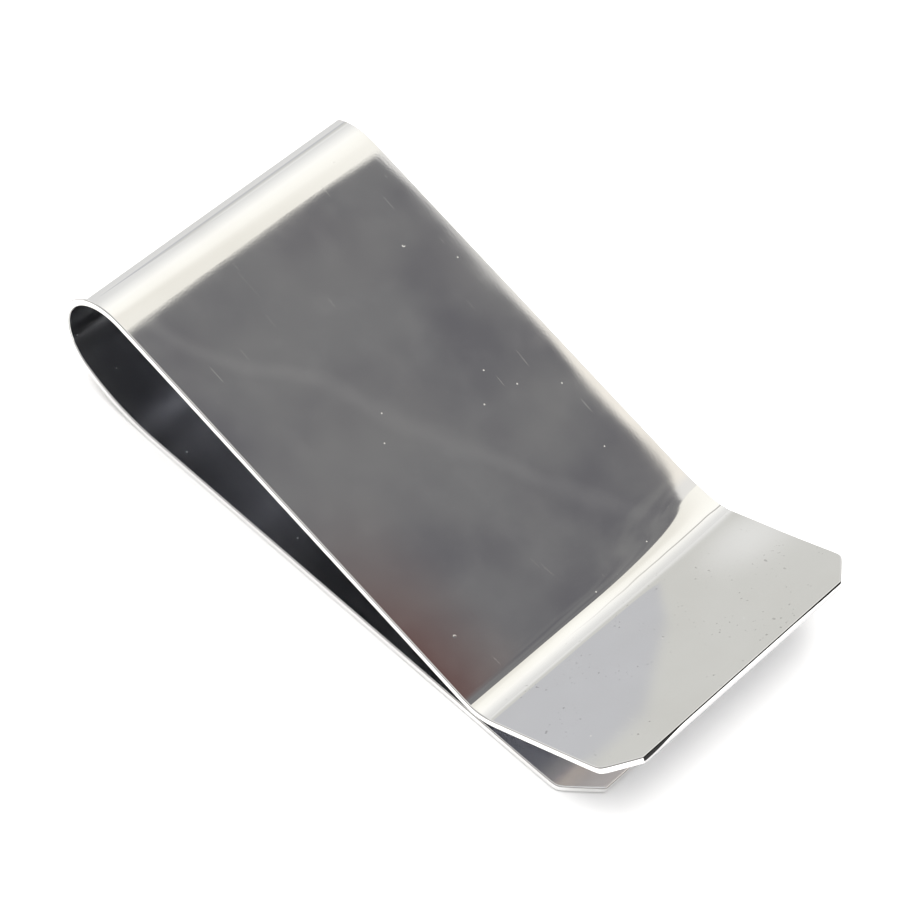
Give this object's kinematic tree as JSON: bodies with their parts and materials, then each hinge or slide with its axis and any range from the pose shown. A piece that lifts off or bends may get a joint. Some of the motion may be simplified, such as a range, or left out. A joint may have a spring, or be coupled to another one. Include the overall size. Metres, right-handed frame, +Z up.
{
  "type": "money clip",
  "caption": "Polished metal strip bent into a sprung teardrop: a flat base leaf, a rounded spring bend, a sloping clamp leaf and a flared thumb lip that grip folded banknotes.",
  "frame": {"origin": "under the middle of the clip's length and width, on the surface that the base leaf lies on", "axes": "+X from the spring bend to the thumb lip, along the strip; +Y across the strip; +Z up, from the base leaf to the clamp leaf"},
  "size_m": [0.0536, 0.0254, 0.0103],
  "materials": {
    "polished_silver": "bright polished silver with a faint haze and fine handling scratches"
  },
  "bodies": {
    "base": {"base_leaf": "polished_silver", "rear_curve": "polished_silver", "spring_bend_lower": "polished_silver"},
    "clamp": {"spring_bend_upper": "polished_silver", "clamp_leaf": "polished_silver", "pinch_crease": "polished_silver", "thumb_lip": "polished_silver"}
  },
  "joints": [
    {"name": "spring_open", "type": "hinge", "parent": "base", "child": "clamp", "pos_m": [-0.02678, 0, 0.0058], "axis": [0, -1, 0], "range_deg": [0, 8], "stiffness_Nm_per_rad": 1, "springref_deg": -1.15}
  ]
}
